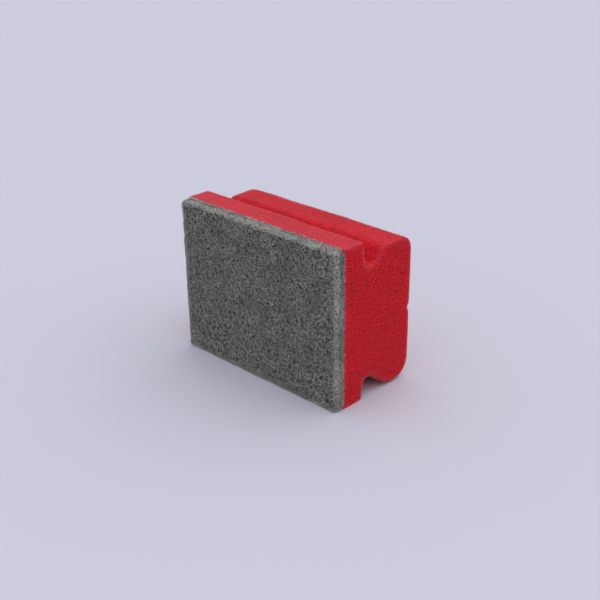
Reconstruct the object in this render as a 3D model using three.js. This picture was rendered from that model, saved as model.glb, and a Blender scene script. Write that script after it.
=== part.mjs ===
// Kitchen scouring sponge: a block of foam with a grip groove along its top and one along its bottom,
// and a nonwoven scouring pad bonded to its front. It stands on one of its long edges.
// Millimetres. X runs along the length, Y from the pad to the back, Z up. The origin lies on the
// surface that the sponge stands on, under the middle of its length and depth.
import * as THREE from 'three';

// Overall sizes
const LENGTH = 90;
const HEIGHT = 70;
const DEPTH = 45;

// Scouring pad
const PAD_THICKNESS = 4.6;
const PAD_EDGE_RADIUS = 1.5; // worn-in rounding where the front face meets the cut edges
const PAD_FACE_CORNER_RADIUS = 0.8; // corners of the flat part of the front face
const PAD_ROUNDING = Math.min(PAD_EDGE_RADIUS, PAD_THICKNESS / 2); // fits in half of the thickness

// Hollows in the pad's front face, where its web of fibres is open. They lie in a loose grid.
const HOLLOW_SPACING = 5.7;
const HOLLOW_RADIUS = 1.4;
const HOLLOW_DEPTH = 0.6;
const HOLLOW_SHIFT = 0.45; // how far one may lie off its place in the grid, each way
const HOLLOW_VARIATION = 0.2; // share by which one may be wider and deeper, or less so
const HOLLOW_SIDES = 6;
const HOLLOW_SEED = 11;

// Foam lip behind the pad
const LIP_THICKNESS = 11;
const LIP_EDGE_RADIUS = 0.6;

// Grip groove along the top, and the rear block's top
const TOP_GROOVE_DEPTH = 11.2; // from the lip's top down to the groove's floor
const TOP_GROOVE_FLOOR = 5.7; // width of the floor
const TOP_WALL_LEAN = 1.5; // the lip's rear wall leans back by this much from its edge to the floor
const TOP_RAMP_RUN = 5.2; // from the floor back to where the block is level
const TOP_STEP = 5.2; // the block's top lies this much below the lip's top
const TOP_CREST_RADIUS = 4;
const TOP_BACK_RADIUS = 5.8;

// Grip groove along the bottom, and the rear block's underside
const BOTTOM_GROOVE_DEPTH = 9.3; // from the lip's foot up to the groove's floor
const BOTTOM_GROOVE_FLOOR = 5.5;
const BOTTOM_WALL_LEAN = 1.3;
const BOTTOM_RAMP_RUN = 8.9;
const BOTTOM_STEP = 1.2; // the block's underside lies this much above the lip's foot
const BOTTOM_CREST_RADIUS = 12;
const BOTTOM_BACK_RADIUS = 7.5;

// Both grooves
const GROOVE_ROOT_RADIUS = 2.1;

// Facets
const ARC_SEGMENTS = 12;
const PAD_EDGE_SEGMENTS = 5;

const FOAM_RED = 0xb4262f;
const PAD_GREY = 0x5b5d5b;

// Outline through corners, each given as [x, y, radius] and rounded by an arc. The corners go round
// with the material on their left. A rounding that its two sides can't hold is made as large as fits.
function roundedOutline(corners) {
  const count = corners.length;
  const tips = corners.map(([x, y]) => new THREE.Vector2(x, y));
  const sides = tips.map((tip, i) => tips[(i + 1) % count].clone().sub(tip));
  const directions = sides.map((side) => side.clone().normalize());
  const turns = directions.map((out, i) => {
    const into = directions[(i + count - 1) % count];
    return Math.atan2(into.cross(out), into.dot(out));
  });
  const reaches = corners.map(([, , radius], i) => radius * Math.tan(Math.abs(turns[i]) / 2));
  const shares = sides.map((side, i) => {
    const wanted = reaches[i] + reaches[(i + 1) % count];
    return wanted > side.length() ? side.length() / wanted : 1;
  });
  return corners.flatMap(([, , wantedRadius], i) => {
    const before = (i + count - 1) % count;
    const share = Math.min(shares[before], shares[i]);
    return cornerPoints(tips[i], directions[before], turns[i], wantedRadius * share);
  });
}

// The points of one corner, which the outline comes into along a direction and turns at by an angle
function cornerPoints(tip, into, turn, radius) {
  if (radius === 0) {
    return [tip];
  }
  const side = Math.sign(turn);
  const start = tip.clone().addScaledVector(into, -radius * Math.tan(Math.abs(turn) / 2));
  const centreX = start.x - into.y * radius * side;
  const centreY = start.y + into.x * radius * side;
  const startAngle = Math.atan2(start.y - centreY, start.x - centreX);
  const endAngle = startAngle + turn;
  const arc = new THREE.EllipseCurve(centreX, centreY, radius, radius, startAngle, endAngle, turn < 0);
  return arc.getPoints(ARC_SEGMENTS);
}

// Section of the foam: x is the distance back from the pad's front face, y is the height
function foamSection() {
  const lipBack = PAD_THICKNESS + LIP_THICKNESS;
  const bottomFloorStart = lipBack + BOTTOM_WALL_LEAN;
  const bottomFloorEnd = bottomFloorStart + BOTTOM_GROOVE_FLOOR;
  const topFloorStart = lipBack + TOP_WALL_LEAN;
  const topFloorEnd = topFloorStart + TOP_GROOVE_FLOOR;
  const blockTop = HEIGHT - TOP_STEP;
  const topFloor = HEIGHT - TOP_GROOVE_DEPTH;
  return roundedOutline([
    [PAD_THICKNESS, 0, 0],
    [lipBack, 0, LIP_EDGE_RADIUS],
    [bottomFloorStart, BOTTOM_GROOVE_DEPTH, GROOVE_ROOT_RADIUS],
    [bottomFloorEnd, BOTTOM_GROOVE_DEPTH, GROOVE_ROOT_RADIUS],
    [bottomFloorEnd + BOTTOM_RAMP_RUN, BOTTOM_STEP, BOTTOM_CREST_RADIUS],
    [DEPTH, BOTTOM_STEP, BOTTOM_BACK_RADIUS],
    [DEPTH, blockTop, TOP_BACK_RADIUS],
    [topFloorEnd + TOP_RAMP_RUN, blockTop, TOP_CREST_RADIUS],
    [topFloorEnd, topFloor, GROOVE_ROOT_RADIUS],
    [topFloorStart, topFloor, GROOVE_ROOT_RADIUS],
    [lipBack, HEIGHT, LIP_EDGE_RADIUS],
    [PAD_THICKNESS, HEIGHT, 0],
  ]);
}

// The section drawn out along the length: its x becomes Y, its y becomes Z
function foamGeometry() {
  const geometry = new THREE.ExtrudeGeometry(new THREE.Shape(foamSection()), {
    depth: LENGTH,
    bevelEnabled: false,
  });
  geometry.translate(0, 0, -LENGTH / 2);
  const xAxis = new THREE.Vector3(1, 0, 0);
  const yAxis = new THREE.Vector3(0, 1, 0);
  const zAxis = new THREE.Vector3(0, 0, 1);
  geometry.applyMatrix4(new THREE.Matrix4().makeBasis(yAxis, zAxis, xAxis));
  return geometry;
}

// One ring round the pad, this far back from its front face and this far inside its cut edges
function padRing(setBack, inset) {
  const right = LENGTH / 2 - inset;
  const top = HEIGHT - inset;
  const radius = PAD_FACE_CORNER_RADIUS + PAD_ROUNDING - inset;
  const outline = roundedOutline([
    [right, inset, radius],
    [right, top, radius],
    [-right, top, radius],
    [-right, inset, radius],
  ]);
  return outline.map(({ x, y }) => new THREE.Vector3(x, setBack, y));
}

// The pad's rings go from the bonded face forwards, and in over the rounded front edge
function padRings() {
  const rings = [padRing(PAD_THICKNESS, 0)];
  for (let step = 0; step <= PAD_EDGE_SEGMENTS; step += 1) {
    const angle = (step / PAD_EDGE_SEGMENTS) * (Math.PI / 2);
    const setBack = PAD_ROUNDING * (1 - Math.sin(angle));
    const inset = PAD_ROUNDING * (1 - Math.cos(angle));
    rings.push(padRing(setBack, inset));
  }
  return rings;
}

// A number from -1 to 1, from a run of them that is the same each time
function scatter() {
  return 2 * THREE.MathUtils.seededRandom() - 1;
}

// One hollow: a rim of points on the front face, and the tip of its floor
function padHollow(centreX, centreZ) {
  const x = centreX + HOLLOW_SHIFT * scatter();
  const z = centreZ + HOLLOW_SHIFT * scatter();
  const radius = HOLLOW_RADIUS * (1 + HOLLOW_VARIATION * scatter());
  const depth = HOLLOW_DEPTH * (1 + HOLLOW_VARIATION * scatter());
  const turn = Math.PI * scatter();
  const rim = [];
  for (let side = 0; side < HOLLOW_SIDES; side += 1) {
    const angle = turn + (side / HOLLOW_SIDES) * 2 * Math.PI;
    rim.push(new THREE.Vector3(x + radius * Math.cos(angle), 0, z + radius * Math.sin(angle)));
  }
  return { rim, tip: new THREE.Vector3(x, depth, z) };
}

// The hollows fill the flat part of the front face, in even numbers both ways, so its middle stays flat
function padHollows() {
  const width = LENGTH - 2 * PAD_ROUNDING;
  const height = HEIGHT - 2 * PAD_ROUNDING;
  const columns = 2 * Math.round(width / HOLLOW_SPACING / 2);
  const rows = 2 * Math.round(height / HOLLOW_SPACING / 2);
  const hollows = [];
  THREE.MathUtils.seededRandom(HOLLOW_SEED);
  for (let row = 0; row < rows; row += 1) {
    for (let column = 0; column < columns; column += 1) {
      const x = ((column + 0.5) / columns - 0.5) * width;
      const z = ((row + 0.5) / rows) * height + PAD_ROUNDING;
      hollows.push(padHollow(x, z));
    }
  }
  return hollows;
}

// Closed body through rings of equally many points, with a flat face over the first. The face over
// the last has hollows in it.
function padGeometry(rings, hollows) {
  const count = rings[0].length;
  const indices = [];
  for (let ring = 0; ring < rings.length - 1; ring += 1) {
    for (let i = 0; i < count; i += 1) {
      const here = ring * count + i;
      const next = ring * count + ((i + 1) % count);
      indices.push(here, next, next + count);
      indices.push(here, next + count, here + count);
    }
  }
  const flat = (points) => points.map(({ x, z }) => new THREE.Vector2(x, z));
  THREE.ShapeUtils.triangulateShape(flat(rings[0]), []).forEach(([a, b, c]) => {
    indices.push(c, b, a);
  });
  const lastRing = rings[rings.length - 1];
  const rims = hollows.map(({ rim }) => rim);
  const faceStart = (rings.length - 1) * count;
  THREE.ShapeUtils.triangulateShape(flat(lastRing), rims.map(flat)).forEach(([a, b, c]) => {
    indices.push(faceStart + a, faceStart + b, faceStart + c);
  });
  const rimsStart = rings.length * count;
  const tipsStart = rimsStart + rims.flat().length;
  rims.forEach((rim, hollow) => {
    const rimStart = rimsStart + hollow * rim.length;
    rim.forEach((point, i) => {
      indices.push(rimStart + i, rimStart + ((i + 1) % rim.length), tipsStart + hollow);
    });
  });
  const tips = hollows.map(({ tip }) => tip);
  const geometry = new THREE.BufferGeometry().setFromPoints([...rings, ...rims, tips].flat());
  geometry.setIndex(indices);
  geometry.computeVertexNormals();
  return geometry;
}

function addPart(group, name, geometry, material) {
  const mesh = new THREE.Mesh(geometry, material);
  mesh.name = name;
  group.add(mesh);
}

const foam = new THREE.MeshStandardMaterial({ color: FOAM_RED, roughness: 0.95, metalness: 0 });
const nonwoven = new THREE.MeshStandardMaterial({ color: PAD_GREY, roughness: 0.9, metalness: 0 });

// Both pieces are drawn from the pad's front face back, and the group centres them on the depth
const sponge = new THREE.Group();
sponge.position.y = -DEPTH / 2;
addPart(sponge, 'foam_body', foamGeometry(), foam);
addPart(sponge, 'scouring_pad', padGeometry(padRings(), padHollows()), nonwoven);

export default sponge;
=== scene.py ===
import bmesh
import bpy
import numpy
from mathutils import Matrix, Vector, noise
from mathutils.bvhtree import BVHTree
from mathutils.kdtree import KDTree


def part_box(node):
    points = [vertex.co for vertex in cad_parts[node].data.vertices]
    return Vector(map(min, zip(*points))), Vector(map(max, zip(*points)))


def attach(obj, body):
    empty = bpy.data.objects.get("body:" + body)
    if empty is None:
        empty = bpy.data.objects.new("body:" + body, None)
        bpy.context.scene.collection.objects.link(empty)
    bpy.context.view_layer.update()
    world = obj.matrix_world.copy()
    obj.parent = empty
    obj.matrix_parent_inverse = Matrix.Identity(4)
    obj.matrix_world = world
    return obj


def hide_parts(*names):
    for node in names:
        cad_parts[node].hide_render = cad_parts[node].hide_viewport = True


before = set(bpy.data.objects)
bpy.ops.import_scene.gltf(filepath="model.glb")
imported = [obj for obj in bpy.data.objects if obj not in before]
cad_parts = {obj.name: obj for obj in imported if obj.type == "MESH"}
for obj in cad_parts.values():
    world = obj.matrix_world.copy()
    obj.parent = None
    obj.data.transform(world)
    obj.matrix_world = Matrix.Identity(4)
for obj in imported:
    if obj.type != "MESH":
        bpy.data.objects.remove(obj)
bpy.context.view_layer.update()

MM = 0.001
PAD_LOW, PAD_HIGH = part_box("scouring_pad")
FOAM_LOW, FOAM_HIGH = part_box("foam_body")

# Camera, fitted to the outline of the sponge in the photograph
EYE = Vector((0.28307, -0.28757, 0.21932))
CAMERA_RIGHT = Vector((0.72071, 0.69316, -0.01012))
CAMERA_UP = Vector((-0.28945, 0.31415, 0.90417))
CAMERA_BACK = Vector((0.62991, -0.64872, 0.42705))
LENS = 61.88  # for a sensor 36 mm wide
SENSOR = 36.0

# Light
SKY_AT_HORIZON = 0.17
SKY_OVERHEAD = 1.12
SKY_COLOUR = (0.93, 0.93, 1.0, 1.0)
SEEN_COLOUR = (0.60, 0.60, 0.70, 1.0)  # of the plain background behind the floor
SUN_STRENGTH = 0.5
SUN_SPREAD = 1.5  # radians across
SUN_TOWARDS = Vector((0.45, 0.62, 1.05))
FLOOR_HALF = 4.0  # metres

# Foam
FOAM_VOXEL = 0.64 * MM
FOAM_GAP = 0.03 * MM  # between the foam and the bonded face of the pad
FOAM_PINCH = 0.3 * MM  # how far the foam draws in beside the bond
FOAM_PINCH_REACH = 1.0 * MM
FOAM_SWELL = 0.35 * MM  # how far the free back stands proud
FOAM_RELIEF = [(14 * MM, 0.22 * MM), (0.9 * MM, 0.05 * MM), (0.45 * MM, 0.04 * MM)]  # size, height
RIM_WIDTH = 1.5 * MM  # of the band along a sharp cut edge that is painted paler, a painted edge highlight
SHARP_EDGE = 0.6  # radians between two faces
PAINTED_SHEEN_REACH = 5.0 * MM  # from the outermost long faces in to where the painted sheen ends
DENT = Vector((0.045, 0.0228, 0.0322))  # a nick in the upright back edge
DENT_RADIUS = 1.9 * MM
DENT_DEPTH = 0.65 * MM
END_PRESSED_IN = 1.4 * MM  # of the rear block at its far end
END_PRESSED_DOWN = 0.6 * MM
END_REACH = 8.0 * MM
END_FROM_HEIGHT = 42.0 * MM  # only the upper part of that end is pressed
UNDERSIDE_SAG = 1.2 * MM  # of the rear block, behind its near end face
UNDERSIDE_HEIGHT = 6.0 * MM
UNDERSIDE_FROM = 2.0 * MM  # in from the near end face, and whole UNDERSIDE_FADE further in
UNDERSIDE_FADE = 1.0 * MM
REAR_BLOCK_FROM = -5.0 * MM  # in depth, and where it is whole
REAR_BLOCK_TO = 3.0 * MM

# Broken cell walls that stand out of the foam
BURRS = 20000
BURR_LENGTH = (0.3 * MM, 0.9 * MM)
BURR_RADIUS = (0.03 * MM, 0.07 * MM)
BURR_LEAN = 0.5  # spread of their direction about the surface's
BURR_CORNERS = (0.0, 2.1, 4.2)  # radians round a burr's foot

# Pad
PAD_VOXEL = 0.85 * MM
PAD_EDGE_RADIUS = 1.5 * MM
PAD_CORNER_RADIUS = 2.3 * MM
CORE_SIDE_DEPTH = 0.75 * MM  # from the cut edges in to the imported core
CORE_FRONT_DEPTH = 0.9 * MM
CORE_RELIEF = [(1.3 * MM, 0.2 * MM), (0.7 * MM, 0.15 * MM)]  # size, height

# Places on the front face, x and z in millimetres, where the web has come open
WIDE_OPENINGS = [(-14.0, 44.7), (-3.0, 44.3), (0.5, 43.6), (1.8, 46.7), (33.3, 50.7), (14.3, 15.0)]
WIDE_RADIUS = 0.5 * MM

# Fibres
FINE = 41  # samples along a fibre before it is cut to length
RING = 3  # corners of a fibre's section
FIBRE_END = 0.6  # of its full radius
WEAVE_HEIGHT = (0.05 * MM, 0.25 * MM)  # of the waves that carry front fibres over and under each other
WEAVE_PITCH = (2 * MM, 6 * MM)
FRONT_OVERHANG = 0.4 * MM
WORN_TONE = (0.1, 1.1)  # added to fibres on a worn edge
# Along the bottom edge the paler worn tone is held back: a painted shade where that edge is in shade.
SHADED_BOTTOM_HEIGHT = 8.0 * MM
SHADED_BOTTOM_SHARE = 0.3
BOND_OVERLAP = 0.6 * MM  # how far loose fibre ends may lie over the foam
PLASTIC_NUMBER = 1.32471795724  # steps of its inverse powers spread places evenly over a plane
NOISE_STEP = (17.3, 9.1, 5.7)  # between the noise of one seed and the next
CUT_END_TURN = (0.3, 0.9, 0.2)  # added to a normal, so an end that points straight out has a side

# The kinds of fibre. A pair is a range, but tone_about is a mean and its spread, and margins are what
# is kept clear at the front and the back. shade is how much darker the deepest fibre of a kind is
# painted, a painted shade for fibres that lie deeper.
# The deep fibres' low tone is painted shade for fibres that lie under the front strands.
DEEP_FIBRES = {
    "count": 2800, "samples": 8, "length": (4 * MM, 8 * MM), "radius": (0.08 * MM, 0.13 * MM),
    "bend": 250, "crimp": (0.4, 1.2), "pitch": (2.5 * MM, 5 * MM), "depth": (0.45 * MM, 0.75 * MM),
    "tone": (0.1, 0.3), "darkest": 0.02, "shade": 0.6,
}
FRONT_STRANDS = {
    "count": 3500, "samples": 10, "length": (2.0 * MM, 5.0 * MM), "radius": (0.09 * MM, 0.15 * MM),
    "bend": 400, "crimp": (0.6, 1.8), "pitch": (1.6 * MM, 3.6 * MM), "depth": (0.0 * MM, 0.5 * MM),
    "tone": (0.6, 1.0), "darkest": 0.02, "shade": 0.6,
}
EDGE_FIBRES = {
    "count": 3000, "samples": 7, "length": (2 * MM, 6 * MM), "radius": (0.07 * MM, 0.14 * MM),
    "bend": 200, "crimp": (0.2, 0.9), "pitch": (1.5 * MM, 4 * MM), "depth": (0.05 * MM, 0.7 * MM),
    "tone": (0.5, 0.85), "darkest": 0.03, "shade": 0.5, "heading": 0.5, "margins": (0.05 * MM, 0.12 * MM),
    "wave": 0.15 * MM, "wave_rate": 1.7 / MM, "phase": 40,
}
CUT_ENDS = {
    "count": 2400, "samples": 3, "length": (0.5 * MM, 1.3 * MM), "radius": (0.05 * MM, 0.1 * MM),
    "start": (0.3 * MM, 0.9 * MM), "proud": 0.35 * MM, "lean": 0.7, "margins": (0.05 * MM, 0.1 * MM),
    "root_margins": (0.1 * MM, 0.15 * MM), "tone_about": (0.55, 0.16), "darkest": 0.1,
}
BOND_FIBRES = {
    "count": 1800, "samples": 4, "length": (0.6 * MM, 1.6 * MM), "radius": (0.05 * MM, 0.1 * MM),
    "start": (0.3 * MM, 1.3 * MM), "proud": (0.02 * MM, 0.2 * MM), "lean": 0.8, "tone": (0.4, 0.9),
}
STRAY_FIBRES = {
    "count": 900, "samples": 9, "length": (2 * MM, 6 * MM), "radius": (0.04 * MM, 0.08 * MM),
    "bend": 250, "crimp": (0.1, 0.6), "pitch": (2 * MM, 5 * MM), "rise": (0.15 * MM, 0.75 * MM),
    "overhang": (0.1 * MM, 0.7 * MM), "hugging": 0.45, "hug_width": 1.2 * MM, "loops": 0.6,
    "sink": 0.1 * MM, "tone_about": (0.55, 0.18), "darkest": 0.1,
}


def grid_noise(points, scale, seed):
    """Smooth noise from about -1 to 1 at each point, with features of the given size in metres."""
    offset = Vector([seed * step for step in NOISE_STEP])
    return numpy.array([noise.noise(Vector(p) / scale + offset) for p in points])


def relief(points, layers, first_seed):
    """Noise added up from layers, each given by the size and the height of its features."""
    seeded = enumerate(layers, first_seed)
    return sum(grid_noise(points, size, seed) * height for seed, (size, height) in seeded)


def unit(vectors):
    return vectors / (numpy.linalg.norm(vectors, axis=-1, keepdims=True) + 1e-12)


def link(piece):
    bpy.context.scene.collection.objects.link(piece)
    return piece


def mesh_object(name, points, faces, material):
    mesh = bpy.data.meshes.new(name)
    mesh.from_pydata(points, [], faces)
    mesh.shade_smooth()
    mesh.materials.append(material)
    return link(bpy.data.objects.new(name, mesh))


def remeshed_copy(node, name, voxel, material):
    """A new mesh of small even faces in the form of a CAD node."""
    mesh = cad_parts[node].data.copy()
    shell = bmesh.new()
    shell.from_mesh(mesh)
    bmesh.ops.remove_doubles(shell, verts=shell.verts, dist=MM / 1000)
    shell.to_mesh(mesh)
    shell.free()
    rough = link(bpy.data.objects.new(name, mesh))
    remesh = rough.modifiers.new("even faces", "REMESH")
    remesh.mode = "VOXEL"
    remesh.voxel_size = voxel
    depsgraph = bpy.context.evaluated_depsgraph_get()
    even = bpy.data.meshes.new_from_object(rough.evaluated_get(depsgraph))
    rough.modifiers.clear()
    rough.data = even
    even.shade_smooth()
    even.materials.clear()
    even.materials.append(material)
    return rough


def read_points(mesh):
    points = numpy.zeros(len(mesh.vertices) * 3)
    normals = numpy.zeros(len(mesh.vertices) * 3)
    mesh.vertices.foreach_get("co", points)
    mesh.vertices.foreach_get("normal", normals)
    return points.reshape(-1, 3), normals.reshape(-1, 3)


def write_points(mesh, points):
    mesh.vertices.foreach_set("co", points.ravel())
    mesh.update()


# Materials

class Nodes:
    """A short way to write a material's node tree."""

    def __init__(self, name):
        self.material = bpy.data.materials.new(name)
        self.material.use_nodes = True
        self.tree = self.material.node_tree
        self.shader = self.tree.nodes["Principled BSDF"]

    def add(self, kind, inputs=None, **settings):
        node = self.tree.nodes.new(kind)
        for key, value in settings.items():
            setattr(node, key, value)
        for key, value in (inputs or {}).items():
            self.put(node.inputs[key], value)
        return node

    def put(self, socket, value):
        if isinstance(value, bpy.types.NodeSocket):
            self.tree.links.new(value, socket)
        else:
            socket.default_value = value

    def maths(self, operation, first, second, clamp=False):
        node = self.add("ShaderNodeMath", operation=operation, use_clamp=clamp)
        self.put(node.inputs[0], first)
        self.put(node.inputs[1], second)
        return node.outputs[0]

    def mix(self, factor, first, second, blend="MIX"):
        node = self.add("ShaderNodeMix", data_type="RGBA", blend_type=blend)
        self.put(node.inputs["Factor"], factor)
        self.put(node.inputs[6], first)
        self.put(node.inputs[7], second)
        return node.outputs[2]

    def ramp(self, value, low, high, start=0.0, end=1.0):
        return self.add(
            "ShaderNodeMapRange",
            {"Value": value, "From Min": low, "From Max": high, "To Min": start, "To Max": end},
        ).outputs["Result"]

    def place(self):
        return self.add("ShaderNodeTexCoord").outputs["Object"]


def foam_material():
    """Open-cell foam: a fine grain with its pores painted darker as painted shade in the open cells,
    paler along its sharp cut edges as a painted highlight and on its outer long faces as a painted sheen.
    """
    m = Nodes("red foam")
    place = m.place()
    pores = m.add("ShaderNodeTexVoronoi", {"Vector": place, "Scale": 1900.0}, feature="F1")
    fine = m.add("ShaderNodeTexNoise", {"Vector": place, "Scale": 2600.0, "Detail": 3.0})
    speckle = m.add("ShaderNodeTexNoise", {"Vector": place, "Scale": 1200.0, "Detail": 3.0})
    broad = m.add("ShaderNodeTexNoise", {"Vector": place, "Scale": 70.0, "Detail": 3.0})
    rim = m.add("ShaderNodeAttribute", attribute_name="rim").outputs["Fac"]
    painted_sheen = m.add("ShaderNodeAttribute", attribute_name="painted_sheen").outputs["Fac"]
    # The pores are painted darker than the cell walls: painted shade in the open cells.
    closed = m.ramp(pores.outputs["Distance"], 0.2, 0.6)
    mottle = m.ramp(speckle.outputs["Fac"], 0.36, 0.64)
    dust = m.ramp(fine.outputs["Fac"], 0.36, 0.64)
    grain = m.maths("ADD", m.maths("MULTIPLY", closed, 0.4), m.maths("MULTIPLY", dust, 0.3))
    grain = m.maths("ADD", grain, m.maths("MULTIPLY", mottle, 0.3))
    contrast = m.ramp(grain, 0.26, 0.74)
    colour = m.mix(contrast, (0.24, 0.001, 0.003, 1.0), (0.91, 0.011, 0.025, 1.0))
    tint = m.ramp(broad.outputs["Fac"], 0.3, 0.7)
    colour = m.mix(m.maths("MULTIPLY", tint, 0.4), colour, (0.65, 0.55, 0.55, 1.0), blend="MULTIPLY")
    # Painted sheen: the outer long faces are painted paler and pinker, as a grazing sheen shows them.
    colour = m.mix(m.maths("MULTIPLY", painted_sheen, 0.031), colour, (1.0, 0.85, 1.0, 1.0))
    # Painted edge highlight: a paler band along the sharp cut edges.
    colour = m.mix(m.maths("MULTIPLY", rim, 0.2), colour, (0.90, 0.12, 0.15, 1.0))
    bump = m.add("ShaderNodeBump", {"Strength": 0.5, "Distance": 0.0002, "Height": grain})
    m.put(m.shader.inputs["Base Color"], colour)
    m.put(m.shader.inputs["Normal"], bump.outputs["Normal"])
    m.put(m.shader.inputs["Roughness"], m.ramp(grain, 0.0, 1.0, 0.95, 0.75))
    m.shader.inputs["Specular IOR Level"].default_value = 0.2
    m.shader.inputs["Subsurface Weight"].default_value = 0.12
    m.shader.inputs["Subsurface Radius"].default_value = (1.4, 0.3, 0.25)
    m.shader.inputs["Subsurface Scale"].default_value = MM
    m.shader.inputs["Sheen Weight"].default_value = 0.7
    m.shader.inputs["Sheen Roughness"].default_value = 0.25
    m.shader.inputs["Sheen Tint"].default_value = (1.0, 0.8, 0.85, 1.0)
    return m.material


def burr_material():
    """Thin cell walls, paler than the foam because light comes through them."""
    m = Nodes("foam burrs")
    m.shader.inputs["Base Color"].default_value = (0.90, 0.10, 0.14, 1.0)
    m.shader.inputs["Roughness"].default_value = 0.9
    m.shader.inputs["Specular IOR Level"].default_value = 0.1
    return m.material


def core_material():
    """The inside of the pad, seen only between the fibres, painted near black as painted shade."""
    m = Nodes("core in painted shade")
    place = m.place()
    mat = m.add("ShaderNodeTexNoise", {"Vector": place, "Scale": 1500.0, "Detail": 4.0, "Roughness": 0.7})
    shade = m.ramp(mat.outputs["Fac"], 0.35, 0.65)
    # Painted shade: near black, so the gaps between the fibres look deep and shaded.
    colour = m.mix(shade, (0.012, 0.013, 0.012, 1.0), (0.060, 0.062, 0.058, 1.0))
    bump = m.add("ShaderNodeBump", {"Strength": 0.9, "Distance": 0.0004, "Height": mat.outputs["Fac"]})
    m.put(m.shader.inputs["Base Color"], colour)
    m.put(m.shader.inputs["Normal"], bump.outputs["Normal"])
    m.shader.inputs["Roughness"].default_value = 0.85
    return m.material


def fibre_material():
    """Crimped nylon with grit bonded to it; each fibre has its own tone, which also holds painted shade
    for deeper fibres and along the bottom edge.
    """
    m = Nodes("nonwoven fibre")
    place = m.place()
    tone = m.add("ShaderNodeAttribute", attribute_name="tone").outputs["Fac"]
    grit = m.add("ShaderNodeTexNoise", {"Vector": place, "Scale": 2500.0, "Detail": 2.0})
    cloud = m.add("ShaderNodeTexNoise", {"Vector": place, "Scale": 120.0, "Detail": 3.0})
    colour = m.mix(tone, (0.070, 0.071, 0.064, 1.0), (1.0, 1.0, 0.91, 1.0))
    speck = m.ramp(grit.outputs["Fac"], 0.54, 0.61)
    colour = m.mix(m.maths("MULTIPLY", speck, 0.9), colour, (0.020, 0.021, 0.019, 1.0))
    drift = m.ramp(cloud.outputs["Fac"], 0.3, 0.7)
    colour = m.mix(m.maths("MULTIPLY", drift, 0.4), colour, (0.18, 0.19, 0.17, 1.0))
    bump = m.add("ShaderNodeBump", {"Strength": 0.5, "Distance": 0.0001, "Height": grit.outputs["Fac"]})
    m.put(m.shader.inputs["Base Color"], colour)
    m.put(m.shader.inputs["Normal"], bump.outputs["Normal"])
    m.shader.inputs["Roughness"].default_value = 0.6
    m.shader.inputs["Specular IOR Level"].default_value = 0.35
    return m.material


def floor_material():
    m = Nodes("pale floor")
    m.shader.inputs["Base Color"].default_value = (0.695, 0.695, 0.775, 1.0)
    m.shader.inputs["Roughness"].default_value = 0.8
    m.shader.inputs["Specular IOR Level"].default_value = 0.1
    return m.material


# Foam

def rim_nearness(points):
    """From 1 on the foam's sharp edges down to 0 away from them; it places the painted edge highlight."""
    shell = bmesh.new()
    shell.from_mesh(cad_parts["foam_body"].data)
    bmesh.ops.remove_doubles(shell, verts=shell.verts, dist=MM / 1000)
    places = []
    for edge in shell.edges:
        if edge.is_manifold and edge.calc_face_angle() > SHARP_EDGE:
            start, end = (vertex.co for vertex in edge.verts)
            steps = int((end - start).length / (RIM_WIDTH / 2)) + 1
            places += [start.lerp(end, step / steps) for step in range(steps + 1)]
    shell.free()
    tree = KDTree(len(places))
    for number, place in enumerate(places):
        tree.insert(place, number)
    tree.balance()
    away = numpy.array([tree.find(p)[2] for p in points])
    return numpy.exp(-((away / RIM_WIDTH) ** 2))


def painted_sheen_on(points, normals):
    """1 on the outer long faces, which get a paler painted sheen, down to 0 in the grooves and on the
    ends.
    """
    sides = [FOAM_HIGH.z - points[:, 2], points[:, 2] - FOAM_LOW.z, FOAM_HIGH.y - points[:, 1]]
    inside = numpy.min(sides, axis=0)
    return numpy.exp(-((inside / PAINTED_SHEEN_REACH) ** 2)) * (1 - numpy.abs(normals[:, 0]))


def smooth(share):
    """From 0 to 1 with a soft start and end."""
    return share**2 * (3 - 2 * share)


def sagged(points):
    """The rear block pressed in at its far upper corner and sunk a little on its underside."""
    x, y, z = points.T
    rear = numpy.clip((y - REAR_BLOCK_FROM) / (REAR_BLOCK_TO - REAR_BLOCK_FROM), 0, 1)
    upper = numpy.clip((z - END_FROM_HEIGHT) / (FOAM_HIGH.z - END_FROM_HEIGHT), 0, 1) ** 0.5
    end = numpy.clip(1 - (x - FOAM_LOW.x) / END_REACH, 0, 1) ** 2 * smooth(rear) * smooth(upper)
    low = numpy.clip(1 - z / UNDERSIDE_HEIGHT, 0, 1)
    behind = numpy.clip((FOAM_HIGH.x - x - UNDERSIDE_FROM) / UNDERSIDE_FADE, 0, 1)
    x = x + END_PRESSED_IN * end
    z = z - END_PRESSED_DOWN * end * z / FOAM_HIGH.z - UNDERSIDE_SAG * low * rear * behind
    return numpy.stack([x, y, z], axis=1)


def make_foam():
    foam = remeshed_copy("foam_body", "foam_block", FOAM_VOXEL, foam_material())
    points, normals = read_points(foam.data)
    # Marks for painted light: a painted highlight along the sharp edges and a painted sheen on the outer
    # long faces.
    marks = {"rim": rim_nearness(points), "painted_sheen": painted_sheen_on(points, normals)}
    uneven = relief(points, FOAM_RELIEF, 1)
    bond = points[:, 1] - FOAM_LOW.y
    pinch = numpy.clip(1 - bond / FOAM_PINCH_REACH, 0, 1) ** 2 * FOAM_PINCH
    swell = numpy.clip(bond / (FOAM_HIGH.y - FOAM_LOW.y), 0, 1) ** 2 * FOAM_SWELL
    away = numpy.linalg.norm(points - numpy.array(DENT), axis=1) / DENT_RADIUS
    dent = numpy.exp(-2 * away**2) * DENT_DEPTH
    points = sagged(points + normals * (uneven + swell - pinch - dent)[:, None])
    points[:, 1] = numpy.maximum(points[:, 1], FOAM_LOW.y + FOAM_GAP)
    points[:, 2] = numpy.maximum(points[:, 2], 0.0)
    write_points(foam.data, points)
    for name, mark in marks.items():
        shade = foam.data.attributes.new(name, "FLOAT", "POINT")
        shade.data.foreach_set("value", mark.astype(numpy.float32))
    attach(foam, "root")
    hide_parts("foam_body")
    return foam


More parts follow.
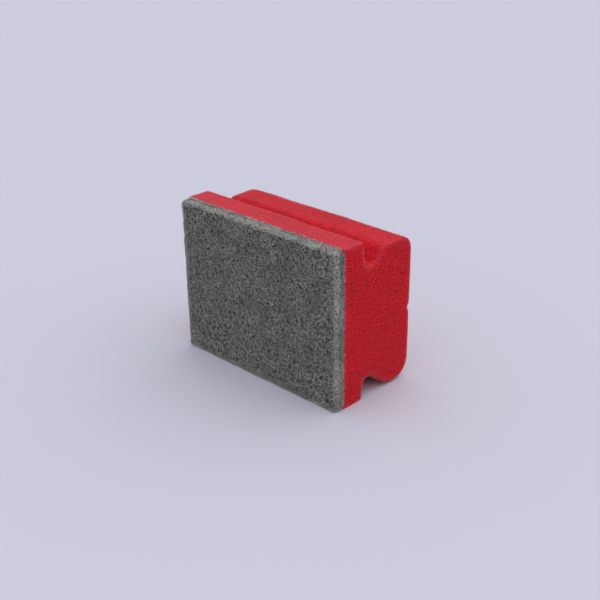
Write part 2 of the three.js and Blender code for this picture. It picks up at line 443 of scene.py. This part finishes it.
def make_burrs(foam):
    """Short, thin spikes of broken cell walls all over the foam's free faces."""
    random = numpy.random.default_rng(5)
    points, normals = read_points(foam.data)
    chosen = random.choice(numpy.flatnonzero(points[:, 1] > FOAM_LOW.y + MM), BURRS, replace=False)
    root = points[chosen]
    along = unit(normals[chosen] + random.normal(0, BURR_LEAN, (BURRS, 3)))
    side = unit(numpy.cross(along, random.normal(0, 1, (BURRS, 3))))
    up = numpy.cross(along, side)
    radius = random.uniform(*BURR_RADIUS, (BURRS, 1))
    base = root - along * radius
    corners = [base + radius * (numpy.cos(turn) * side + numpy.sin(turn) * up) for turn in BURR_CORNERS]
    tip = root + along * random.uniform(*BURR_LENGTH, (BURRS, 1))
    vertices = numpy.stack([*corners, tip], axis=1).reshape(-1, 3)
    vertices[:, 2] = numpy.maximum(vertices[:, 2], 0.0)
    first = numpy.arange(BURRS)[:, None] * 4
    faces = numpy.concatenate([first + face for face in ([0, 1, 3], [1, 2, 3], [2, 0, 3], [2, 1, 0])])
    burrs = mesh_object("foam_burrs", vertices.tolist(), faces.tolist(), burr_material())
    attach(burrs, "root")


# Pad

HALF_LENGTH = PAD_HIGH.x
PAD_HEIGHT = PAD_HIGH.z
MIDDLE_HEIGHT = PAD_HEIGHT / 2
THICKNESS = PAD_HIGH.y - PAD_LOW.y


def edge_distance(x, z):
    """How far a point of the front face lies inside the pad's rounded outline."""
    across = numpy.abs(x) - (HALF_LENGTH - PAD_CORNER_RADIUS)
    up = numpy.abs(z - MIDDLE_HEIGHT) - (MIDDLE_HEIGHT - PAD_CORNER_RADIUS)
    outside = numpy.hypot(numpy.maximum(across, 0), numpy.maximum(up, 0))
    return PAD_CORNER_RADIUS - outside - numpy.minimum(numpy.maximum(across, up), 0)


def round_off(distance):
    """How far the rounded front edge falls back at a distance from the tangent line."""
    inside = numpy.clip(PAD_EDGE_RADIUS - distance, 0, PAD_EDGE_RADIUS)
    return PAD_EDGE_RADIUS - numpy.sqrt(PAD_EDGE_RADIUS**2 - inside**2)


class FrontFace:
    """How far the CAD's front face lies behind its foremost plane, apart from its rounded edge."""

    CELL = 0.3 * MM
    LAST = 1.001  # cells back from the end of the map, so that there is always a next cell

    def __init__(self):
        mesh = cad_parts["scouring_pad"].data
        tree = BVHTree.FromPolygons([v.co for v in mesh.vertices], [p.vertices for p in mesh.polygons])
        columns = int(2 * HALF_LENGTH / self.CELL) + 2
        rows = int(PAD_HEIGHT / self.CELL) + 2
        across = numpy.arange(columns) * self.CELL - HALF_LENGTH
        x, z = numpy.meshgrid(across, numpy.arange(rows) * self.CELL)
        self.map = numpy.zeros((rows, columns))
        flat = edge_distance(x, z) > PAD_EDGE_RADIUS
        for row, column in numpy.argwhere(flat):
            start = Vector((x[row, column], PAD_LOW.y - MM, z[row, column]))
            hit = tree.ray_cast(start, Vector((0, 1, 0)))[0]
            self.map[row, column] = hit.y - PAD_LOW.y

    def depth(self, x, z):
        column = numpy.clip((x + HALF_LENGTH) / self.CELL, 0, self.map.shape[1] - self.LAST)
        row = numpy.clip(z / self.CELL, 0, self.map.shape[0] - self.LAST)
        c, r = column.astype(int), row.astype(int)
        u, v = column - c, row - r
        low = self.map[r, c] * (1 - u) + self.map[r, c + 1] * u
        high = self.map[r + 1, c] * (1 - u) + self.map[r + 1, c + 1] * u
        return low * (1 - v) + high * v


class Openings:
    """Small openings in the front's web, one to each cell of a loose grid. Fibres bend round them."""

    SPACING = 0.85 * MM
    REACH = 2.3  # the web is pushed aside out to this many times an opening's radius
    JITTER = (0.12, 0.88)  # where in its cell an opening lies
    RADIUS = (0.13, 0.28)  # in millimetres, like CLOSED_RADIUS
    CLOSED_SHARE = 0.12
    CLOSED_RADIUS = 0.02
    CLOUD = 7 * MM  # size of the areas that are more or less open, and how much
    CLOUD_STRENGTH = 0.4

    def __init__(self, random):
        self.columns = int(2 * HALF_LENGTH / self.SPACING) + 3
        self.rows = int(PAD_HEIGHT / self.SPACING) + 3
        shape = (self.rows, self.columns)
        row, column = numpy.indices(shape)
        self.x = (column - 1 + random.uniform(*self.JITTER, shape)) * self.SPACING - HALF_LENGTH
        self.z = (row - 1 + random.uniform(*self.JITTER, shape)) * self.SPACING
        places = numpy.stack([self.x.ravel(), numpy.zeros(self.x.size), self.z.ravel()], axis=1)
        openness = grid_noise(places, self.CLOUD, 6).reshape(shape)
        radius = random.uniform(*self.RADIUS, shape) * (1 + self.CLOUD_STRENGTH * openness)
        closed = random.uniform(0, 1, shape) < self.CLOSED_SHARE
        self.radius = numpy.where(closed, self.CLOSED_RADIUS, radius) * MM
        for x, z in WIDE_OPENINGS:
            c = int((x * MM + HALF_LENGTH) / self.SPACING) + 1
            r = int(z * MM / self.SPACING) + 1
            self.x[r, c], self.z[r, c], self.radius[r, c] = x * MM, z * MM, WIDE_RADIUS

    def push_aside(self, x, z):
        """The same points moved out of the openings."""
        column = ((x + HALF_LENGTH) / self.SPACING).astype(int) + 1
        row = (z / self.SPACING).astype(int) + 1
        move_x, move_z = numpy.zeros_like(x), numpy.zeros_like(z)
        for i in (-1, 0, 1):
            for j in (-1, 0, 1):
                c = numpy.clip(column + i, 0, self.columns - 1)
                r = numpy.clip(row + j, 0, self.rows - 1)
                dx, dz = x - self.x[r, c], z - self.z[r, c]
                away = numpy.hypot(dx, dz) + MM / 1000
                push = self.radius[r, c] * numpy.clip(1 - away / (self.radius[r, c] * self.REACH), 0, 1)
                move_x += dx / away * push
                move_z += dz / away * push
        return x + move_x, z + move_z


def make_core():
    core = remeshed_copy("scouring_pad", "pad_core", PAD_VOXEL, core_material())
    points, normals = read_points(core.data)
    back = PAD_HIGH.y
    deep = (back - points[:, 1]) / THICKNESS
    points[:, 0] *= 1 - CORE_SIDE_DEPTH / HALF_LENGTH
    points[:, 2] = MIDDLE_HEIGHT + (points[:, 2] - MIDDLE_HEIGHT) * (1 - CORE_SIDE_DEPTH / MIDDLE_HEIGHT)
    points[:, 1] += deep * CORE_FRONT_DEPTH
    points = points + normals * relief(points, CORE_RELIEF, 4)[:, None]
    points[:, 1] = numpy.minimum(points[:, 1], back)
    points[:, 2] = numpy.maximum(points[:, 2], 0.0)
    write_points(core.data, points)
    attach(core, "root")
    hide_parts("scouring_pad")


# Fibres

def wander(random, u, v, heading, length, bend, crimp, pitch):
    """Curved paths in a plane, each centred on its own (u, v), sampled finely.
    bend is the spread of the turning in radians a metre, crimp and pitch are ranges of its waves."""
    count = len(u)
    along = length[:, None] * numpy.linspace(-0.5, 0.5, FINE)[None, :]
    turn = random.normal(0, bend, count)[:, None]
    swing = random.uniform(*crimp, count)[:, None]
    waves = 2 * numpy.pi / random.uniform(*pitch, count)[:, None]
    phase = random.uniform(0, 2 * numpy.pi, count)[:, None]
    angle = heading[:, None] + turn * along + swing * numpy.sin(waves * along + phase)
    step = numpy.diff(along, axis=1)
    middle = (angle[:, 1:] + angle[:, :-1]) / 2
    zero = numpy.zeros((count, 1))
    du = numpy.concatenate([zero, numpy.cumsum(numpy.cos(middle) * step, axis=1)], axis=1)
    dv = numpy.concatenate([zero, numpy.cumsum(numpy.sin(middle) * step, axis=1)], axis=1)
    half = FINE // 2
    return u[:, None] + du - du[:, half : half + 1], v[:, None] + dv - dv[:, half : half + 1]


def cut_to(inside, arrays, samples):
    """Cuts each path where it first leaves the pad on both sides of its middle, and resamples it."""
    half = FINE // 2
    after = numpy.cumprod(inside[:, half:], axis=1).sum(axis=1)
    before = numpy.cumprod(inside[:, half::-1], axis=1).sum(axis=1)
    last = half + numpy.maximum(after, 1) - 1
    first = half - numpy.maximum(before, 1) + 1
    place = first[:, None] + (last - first)[:, None] * numpy.linspace(0, 1, samples)[None, :]
    low = numpy.minimum(place.astype(int), FINE - 2)
    part = place - low
    cut = [
        numpy.take_along_axis(a, low, 1) * (1 - part) + numpy.take_along_axis(a, low + 1, 1) * part
        for a in arrays
    ]
    keep = (last - first) >= FINE // 6
    return [a[keep] for a in cut], keep


def tubes(name, points, normals, radius, tone, material, back=PAD_HIGH.y):
    """One mesh of closed, tapered tubes that reach no further back than the given depth.
    points and normals have the shape (fibres, samples, 3)."""
    count, samples, _ = points.shape
    tangent = unit(numpy.gradient(points, axis=1))
    side = unit(numpy.cross(tangent, normals))
    up = numpy.cross(side, tangent)
    taper = numpy.ones(samples)
    taper[0] = FIBRE_END
    taper[-1] = FIBRE_END
    size = radius[:, None] * taper[None, :]
    rings = []
    for corner in range(RING):
        angle = 2 * numpy.pi * corner / RING + numpy.pi / 2
        spoke = numpy.cos(angle) * side + numpy.sin(angle) * up
        rings.append(points + spoke * size[:, :, None])
    vertices = numpy.stack(rings, axis=2).reshape(-1, 3)
    vertices[:, 2] = numpy.maximum(vertices[:, 2], 0.0)
    vertices[:, 1] = numpy.minimum(vertices[:, 1], back)
    base = (numpy.arange(count) * samples * RING)[:, None] + (numpy.arange(samples - 1) * RING)[None, :]
    base = base.ravel()
    quads = []
    for corner in range(RING):
        after = (corner + 1) % RING
        quad = [base + corner, base + after, base + RING + after, base + RING + corner]
        quads.append(numpy.stack(quad, 1))
    faces = numpy.concatenate(quads).tolist()
    first = numpy.arange(count) * samples * RING
    last = first + (samples - 1) * RING
    faces += numpy.stack([first + 2, first + 1, first], 1).tolist()
    faces += numpy.stack([last, last + 1, last + 2], 1).tolist()
    piece = mesh_object(name, vertices.tolist(), faces, material)
    shade = piece.data.attributes.new("tone", "FLOAT", "POINT")
    shade.data.foreach_set("value", numpy.repeat(tone, samples * RING).astype(numpy.float32))
    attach(piece, "root")
    return piece


def spread(random, count):
    """Two rows of numbers from 0 to 1: places spread evenly over a plane, in no order that shows."""
    steps = numpy.array([1 / PLASTIC_NUMBER, 1 / PLASTIC_NUMBER**2])[:, None]
    return numpy.mod(numpy.arange(count) * steps + random.uniform(0, 1, (2, 1)), 1)


def bottom_edge_shade(z):
    """1 over most of the pad and less along the edge that it stands on: a painted shade, the paler worn
    tone held back where that edge is in shade.
    """
    return numpy.clip(z / SHADED_BOTTOM_HEIGHT, SHADED_BOTTOM_SHARE, 1)


def front_fibres(random, name, openings, face, material, kind):
    """Fibres that lie in the front face's web, over and under each other."""
    count = kind["count"]
    u, v = spread(random, count)
    u = (2 * u - 1) * HALF_LENGTH
    v = v * PAD_HEIGHT
    heading = random.uniform(0, numpy.pi, count)
    length = random.uniform(*kind["length"], count)
    x, z = wander(random, u, v, heading, length, kind["bend"], kind["crimp"], kind["pitch"])
    x, z = openings.push_aside(x, z)
    overhang = random.uniform(-FRONT_OVERHANG, FRONT_OVERHANG, count)
    inside = edge_distance(x, z) > -overhang[:, None]
    layer = random.uniform(0, 1, count)
    wave = random.uniform(*WEAVE_HEIGHT, count)[:, None]
    pitch = 2 * numpy.pi / random.uniform(*WEAVE_PITCH, count)[:, None]
    steps = length[:, None] * numpy.linspace(-0.5, 0.5, FINE)[None, :]
    weave = wave * numpy.sin(pitch * steps + random.uniform(0, 2 * numpy.pi, count)[:, None])
    shallow, deep = kind["depth"]
    depth = (shallow + (deep - shallow) * layer)[:, None] + weave
    (x, z, depth), keep = cut_to(inside, [x, z, depth], kind["samples"])
    layer = layer[keep]
    rim = edge_distance(x, z)
    y = PAD_LOW.y + round_off(rim) + face.depth(x, z) + numpy.maximum(depth, 0.0)
    points = numpy.stack([x, y, z], axis=2)
    normals = numpy.zeros_like(points)
    normals[:, :, 1] = -1
    radius = random.uniform(*kind["radius"], len(points))
    # The paler worn tone is held back along the bottom edge, a painted shade where that edge is in shade.
    worn = numpy.clip(1 - rim.mean(axis=1) / PAD_EDGE_RADIUS, 0, 1) * bottom_edge_shade(z.mean(axis=1))
    # Painted shade: a fibre is painted darker the deeper its layer lies.
    tone = random.uniform(*kind["tone"], len(points)) * (1 - kind["shade"] * layer)
    tone += random.uniform(*WORN_TONE, len(points)) * worn
    return tubes(name, points, normals, radius, numpy.clip(tone, kind["darkest"], 1), material)


def outline_table():
    """Running lengths round the pad's outline, with the point and the outward direction at each."""
    angles = numpy.linspace(0, numpy.pi / 2, 12)
    centres = [(1, 1, 0), (-1, 1, 1), (-1, -1, 2), (1, -1, 3)]
    points, outward = [], []
    for side_x, side_z, turn in centres:
        cx = side_x * (HALF_LENGTH - PAD_CORNER_RADIUS)
        cz = MIDDLE_HEIGHT + side_z * (MIDDLE_HEIGHT - PAD_CORNER_RADIUS)
        for angle in angles + turn * numpy.pi / 2:
            direction = (numpy.cos(angle), numpy.sin(angle))
            outward.append(direction)
            points.append((cx + PAD_CORNER_RADIUS * direction[0], cz + PAD_CORNER_RADIUS * direction[1]))
    points.append(points[0])
    outward.append(outward[0])
    points, outward = numpy.array(points), numpy.array(outward)
    gaps = numpy.linalg.norm(numpy.diff(points, axis=0), axis=1)
    along = numpy.concatenate([[0], numpy.cumsum(gaps)])
    return along, points, outward


OUTLINE = outline_table()
OUTLINE_LENGTH = OUTLINE[0][-1]


def on_outline(u):
    along, points, outward = OUTLINE
    u = numpy.mod(u, OUTLINE_LENGTH)
    x, z = (numpy.interp(u, along, points[:, i]) for i in (0, 1))
    nx, nz = (numpy.interp(u, along, outward[:, i]) for i in (0, 1))
    return x, z, nx, nz


def edge_points(u, v, depth):
    """Places on the cut edge: u goes round the outline, v back from the front face, depth goes in."""
    x, z, nx, nz = on_outline(u)
    inset = round_off(v) + depth
    points = numpy.stack([x - nx * inset, PAD_LOW.y + v, z - nz * inset], axis=2)
    normals = numpy.stack([nx, numpy.zeros_like(nx), nz], axis=2)
    return points, normals


def worn_front(v):
    """From 1 for a fibre on the pad's rounded front edge down to 0 for one near the bond."""
    return numpy.exp(-((v.mean(axis=1) / PAD_EDGE_RADIUS) ** 2))


def edge_fibres(random, name, material, kind):
    """Fibres that show in the cut edges, most of them running along the sheet."""
    count = kind["count"]
    u = random.uniform(0, OUTLINE_LENGTH, count)
    v = random.uniform(0, THICKNESS, count)
    heading = random.normal(0, kind["heading"], count)
    length = random.uniform(*kind["length"], count)
    u, v = wander(random, u, v, heading, length, kind["bend"], kind["crimp"], kind["pitch"])
    front, back = kind["margins"]
    inside = (v > front) & (v < THICKNESS - back)
    layer = random.uniform(0, 1, count)
    shallow, deep = kind["depth"]
    wave = kind["wave"] * numpy.sin(kind["wave_rate"] * u + kind["phase"] * layer[:, None])
    depth = (shallow + (deep - shallow) * layer)[:, None] + wave
    (u, v, depth), keep = cut_to(inside, [u, v, depth], kind["samples"])
    points, normals = edge_points(u, v, numpy.maximum(depth, 0.0))
    radius = random.uniform(*kind["radius"], len(points))
    # Painted shade: deeper fibres are painted darker.
    tone = random.uniform(*kind["tone"], len(points)) * (1 - kind["shade"] * layer[keep])
    # The paler worn tone is held back along the bottom edge, a painted shade where that edge is in shade.
    tone += random.uniform(*WORN_TONE, len(points)) * worn_front(v) * bottom_edge_shade(points[:, :, 2].mean(axis=1))
    return tubes(name, points, normals, radius, numpy.clip(tone, kind["darkest"], 1), material)


def cut_ends(random, name, material, kind):
    """Short fibre ends that stand out of the cut edges."""
    count = kind["count"]
    u = random.uniform(0, OUTLINE_LENGTH, count)[:, None]
    front, rear = kind["root_margins"]
    v = random.uniform(front, THICKNESS - rear, count)[:, None]
    reach = numpy.linspace(0, 1, kind["samples"])[None, :]
    length = random.uniform(*kind["length"], count)[:, None]
    start = random.uniform(*kind["start"], count)[:, None]
    lean = random.normal(0, kind["lean"], (2, count, 1))
    depth = numpy.maximum(start - length * reach, -kind["proud"])
    front, rear = kind["margins"]
    back = numpy.clip(v + lean[0] * length * reach, front, THICKNESS - rear)
    points, normals = edge_points(u + lean[1] * length * reach, back, depth)
    normals = unit(normals + numpy.array(CUT_END_TURN))
    radius = random.uniform(*kind["radius"], count)
    tone = numpy.clip(random.normal(*kind["tone_about"], count), kind["darkest"], 1)
    return tubes(name, points, normals, radius, tone, material)


def bond_fibres(random, name, material, kind):
    """Loose ends of the pad's last fibres, which lie over the edge of the foam."""
    count = kind["count"]
    u = random.uniform(0, OUTLINE_LENGTH, count)[:, None]
    along = numpy.linspace(0, 1, kind["samples"])[None, :]
    start = THICKNESS - random.uniform(*kind["start"], count)[:, None]
    length = random.uniform(*kind["length"], count)[:, None]
    lean = random.normal(0, kind["lean"], count)[:, None]
    proud = random.uniform(*kind["proud"], count)[:, None]
    back = start + numpy.cos(lean) * length * along
    points, normals = edge_points(u + numpy.sin(lean) * length * along, back, -proud * along)
    radius = random.uniform(*kind["radius"], count)
    tone = random.uniform(*kind["tone"], count)
    return tubes(name, points, normals, radius, tone, material, back=PAD_HIGH.y + BOND_OVERLAP)


def stray_fibres(random, name, material, kind):
    """Loops and loose ends that rise out of the front face."""
    count = kind["count"]
    u = random.uniform(-HALF_LENGTH, HALF_LENGTH, count)
    v = random.uniform(0, PAD_HEIGHT, count)
    hugging = random.uniform(0, 1, count) < kind["hugging"]
    edge = random.integers(0, 4, count)
    near = random.uniform(0, kind["hug_width"], count)
    u = numpy.where(hugging & (edge == 0), -HALF_LENGTH + near, u)
    u = numpy.where(hugging & (edge == 1), HALF_LENGTH - near, u)
    v = numpy.where(hugging & (edge == 2), near, v)
    v = numpy.where(hugging & (edge == 3), PAD_HEIGHT - near, v)
    heading = random.uniform(0, numpy.pi, count)
    length = random.uniform(*kind["length"], count)
    x, z = wander(random, u, v, heading, length, kind["bend"], kind["crimp"], kind["pitch"])
    overhang = random.uniform(*kind["overhang"], count)
    inside = edge_distance(x, z) > -overhang[:, None]
    t = numpy.linspace(0, 1, FINE)[None, :]
    rise = random.uniform(*kind["rise"], count)[:, None]
    loop = random.uniform(0, 1, count)[:, None] < kind["loops"]
    lift = numpy.where(loop, numpy.sin(numpy.pi * t), t**2) * rise
    (x, z, lift), _ = cut_to(inside, [x, z, lift], kind["samples"])
    y = PAD_LOW.y + round_off(edge_distance(x, z)) + kind["sink"] - lift
    points = numpy.stack([x, y, z], axis=2)
    normals = numpy.zeros_like(points)
    normals[:, :, 1] = -1
    radius = random.uniform(*kind["radius"], len(points))
    tone = numpy.clip(random.normal(*kind["tone_about"], len(points)), kind["darkest"], 1)
    return tubes(name, points, normals, radius, tone, material)


def make_pad():
    random = numpy.random.default_rng(7)
    openings = Openings(random)
    face = FrontFace()
    material = fibre_material()
    make_core()
    front_fibres(random, "deep_fibres", openings, face, material, DEEP_FIBRES)
    front_fibres(random, "front_strands_1", openings, face, material, FRONT_STRANDS)
    front_fibres(random, "front_strands_2", openings, face, material, FRONT_STRANDS)
    edge_fibres(random, "edge_fibres", material, EDGE_FIBRES)
    cut_ends(random, "edge_fibre_ends", material, CUT_ENDS)
    bond_fibres(random, "bond_fibres", material, BOND_FIBRES)
    stray_fibres(random, "stray_fibres", material, STRAY_FIBRES)


# Stage, light and camera

def make_stage():
    corners = [(FLOOR_HALF * x, FLOOR_HALF * y, 0) for x, y in ((-1, -1), (1, -1), (1, 1), (-1, 1))]
    floor = mesh_object("floor", corners, [(0, 1, 2, 3)], floor_material())

    world = bpy.data.worlds.new("pale room")
    world.use_nodes = True
    tree = world.node_tree
    direction = tree.nodes.new("ShaderNodeSeparateXYZ")
    tree.links.new(tree.nodes.new("ShaderNodeTexCoord").outputs["Generated"], direction.inputs["Vector"])
    height = tree.nodes.new("ShaderNodeMapRange")
    height.inputs["To Min"].default_value = SKY_AT_HORIZON
    height.inputs["To Max"].default_value = SKY_OVERHEAD
    tree.links.new(direction.outputs["Z"], height.inputs["Value"])
    sky = tree.nodes["Background"]
    sky.inputs["Color"].default_value = SKY_COLOUR
    tree.links.new(height.outputs["Result"], sky.inputs["Strength"])
    seen = tree.nodes.new("ShaderNodeBackground")
    seen.inputs["Color"].default_value = SEEN_COLOUR
    chosen = tree.nodes.new("ShaderNodeMixShader")
    path = tree.nodes.new("ShaderNodeLightPath")
    shown = path.outputs["Is Camera Ray"]
    for kind in ("Is Glossy Ray", "Is Transmission Ray"):
        either = tree.nodes.new("ShaderNodeMath")
        either.operation = "MAXIMUM"
        tree.links.new(shown, either.inputs[0])
        tree.links.new(path.outputs[kind], either.inputs[1])
        shown = either.outputs["Value"]
    tree.links.new(shown, chosen.inputs["Fac"])
    tree.links.new(sky.outputs["Background"], chosen.inputs[1])
    tree.links.new(seen.outputs["Background"], chosen.inputs[2])
    tree.links.new(chosen.outputs["Shader"], tree.nodes["World Output"].inputs["Surface"])
    bpy.context.scene.world = world

    light = bpy.data.lights.new("softbox", "SUN")
    light.energy = SUN_STRENGTH
    light.angle = SUN_SPREAD
    lamp = link(bpy.data.objects.new("softbox", light))
    lamp.rotation_mode = "QUATERNION"
    lamp.rotation_quaternion = SUN_TOWARDS.to_track_quat("Z", "Y")


def make_camera():
    data = bpy.data.cameras.new("camera")
    data.lens = LENS
    data.sensor_width = SENSOR
    data.clip_start = 0.01
    data.clip_end = 20.0
    camera = link(bpy.data.objects.new("camera", data))
    turn = Matrix((CAMERA_RIGHT, CAMERA_UP, CAMERA_BACK)).transposed()
    camera.matrix_world = Matrix.Translation(EYE) @ turn.to_4x4()
    bpy.context.scene.camera = camera


make_camera()
make_burrs(make_foam())
make_pad()
make_stage()
bpy.context.scene.view_settings.view_transform = "Standard"
